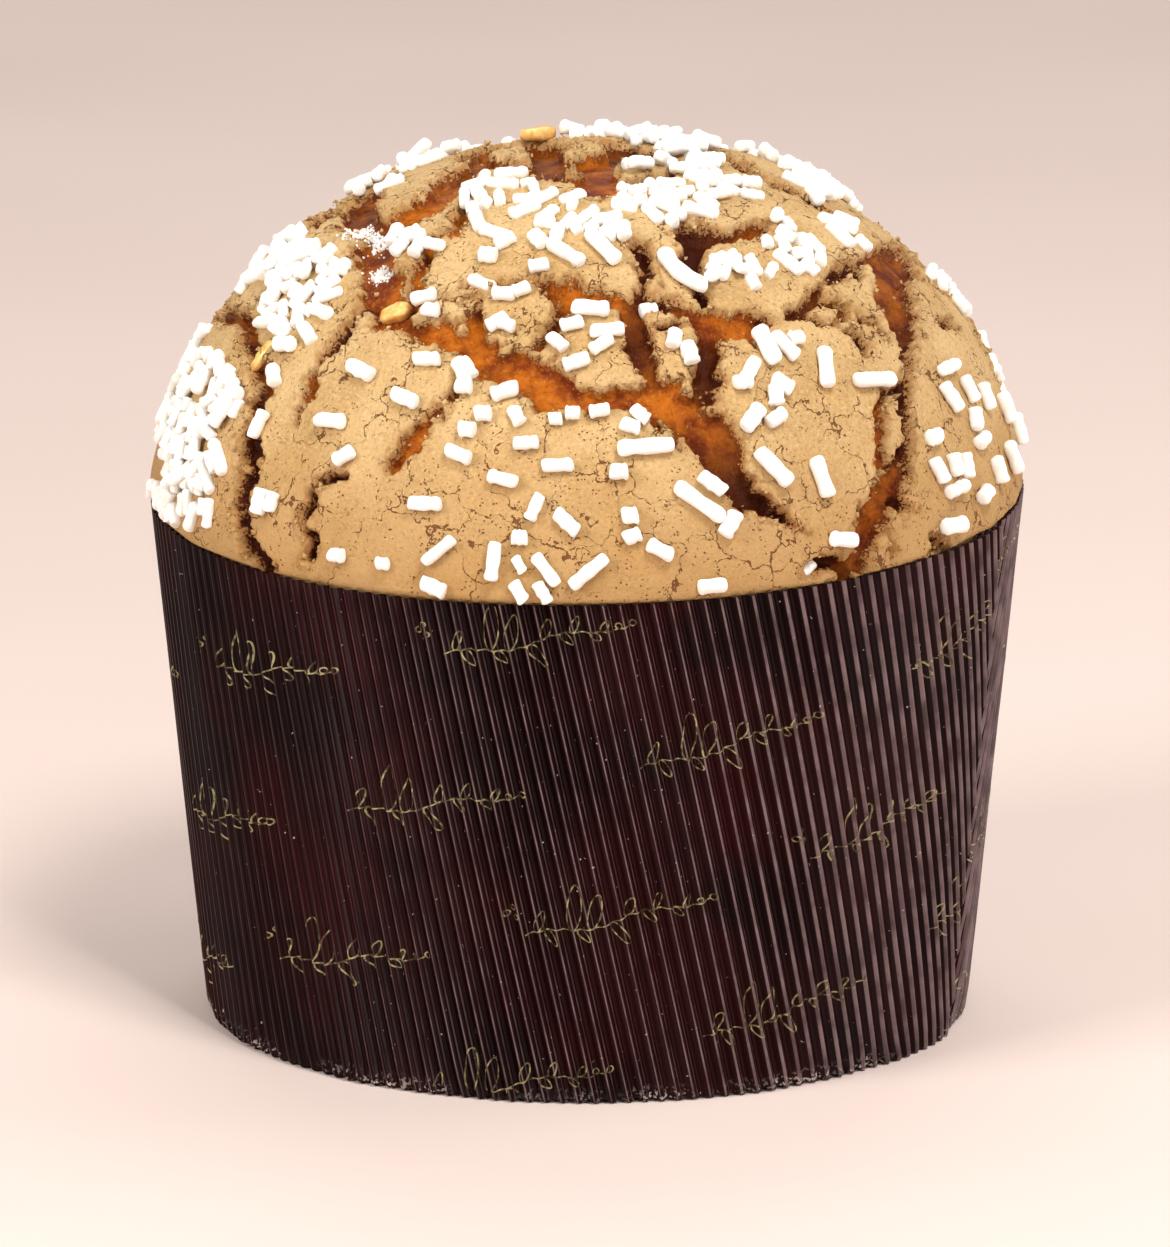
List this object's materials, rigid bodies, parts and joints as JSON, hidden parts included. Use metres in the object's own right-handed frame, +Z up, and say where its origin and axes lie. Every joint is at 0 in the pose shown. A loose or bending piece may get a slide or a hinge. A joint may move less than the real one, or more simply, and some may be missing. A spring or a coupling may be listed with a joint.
{
  "type": "panettone",
  "caption": "Tall domed sweet loaf with a cracked almond glaze and sugar nibs, in the conical pleated paper mould it was baked in.",
  "frame": {"origin": "middle of the underside, on the surface that the mould stands on", "axes": "+Z up along the mould's axis, -Y the front, +X the right-hand side"},
  "size_m": [0.1908, 0.1922, 0.1924],
  "materials": {
    "glazed_crust": "baked almond glaze, matte tan with fine pores, over a glossy orange-brown crust in the cracks",
    "sugar": "pressed pearl sugar, chalky white with a soft edge",
    "candied_peel": "candied peel, amber yellow, slightly see-through",
    "pleated_paper": "corrugated greaseproof baking paper, dark maroon brown with a soft sheen and a small gold print",
    "mould_board": "plain dark brown paper board"
  },
  "bodies": {
    "root": {"loaf": "glazed_crust", "mould_wall": "pleated_paper", "mould_floor": "mould_board", "sugar_nib_01": "sugar", "sugar_nib_02": "sugar", "sugar_nib_03": "sugar", "sugar_nib_04": "sugar", "sugar_nib_05": "sugar", "sugar_nib_06": "sugar", "sugar_nib_07": "sugar", "sugar_nib_08": "sugar", "sugar_nib_09": "sugar", "sugar_nib_10": "sugar", "sugar_nib_11": "sugar", "sugar_nib_12": "sugar", "sugar_nib_13": "sugar", "sugar_nib_14": "sugar", "sugar_nib_15": "sugar", "sugar_nib_16": "sugar", "sugar_nib_17": "sugar", "sugar_nib_18": "sugar", "sugar_nib_19": "sugar", "sugar_nib_20": "sugar", "sugar_nib_21": "sugar", "sugar_nib_22": "sugar", "sugar_nib_23": "sugar", "sugar_nib_24": "sugar", "sugar_nib_25": "sugar", "sugar_nib_26": "sugar", "sugar_nib_27": "sugar", "sugar_nib_28": "sugar", "sugar_nib_29": "sugar", "sugar_nib_30": "sugar", "sugar_nib_31": "sugar", "sugar_nib_32": "sugar", "sugar_nib_33": "sugar", "sugar_nib_34": "sugar", "sugar_nib_35": "sugar", "sugar_nib_36": "sugar", "sugar_nib_37": "sugar", "sugar_nib_38": "sugar", "sugar_nib_39": "sugar", "sugar_nib_40": "sugar", "sugar_nib_41": "sugar", "sugar_nib_42": "sugar", "sugar_nib_43": "sugar", "sugar_nib_44": "sugar", "sugar_nib_45": "sugar", "sugar_nib_46": "sugar", "sugar_nib_47": "sugar", "sugar_nib_48": "sugar", "sugar_nib_49": "sugar", "sugar_nib_50": "sugar", "sugar_nib_51": "sugar", "sugar_nib_52": "sugar", "sugar_nib_53": "sugar", "sugar_nib_54": "sugar", "candied_peel_01": "candied_peel", "candied_peel_02": "candied_peel", "candied_peel_03": "candied_peel"}
  },
  "joints": []
}
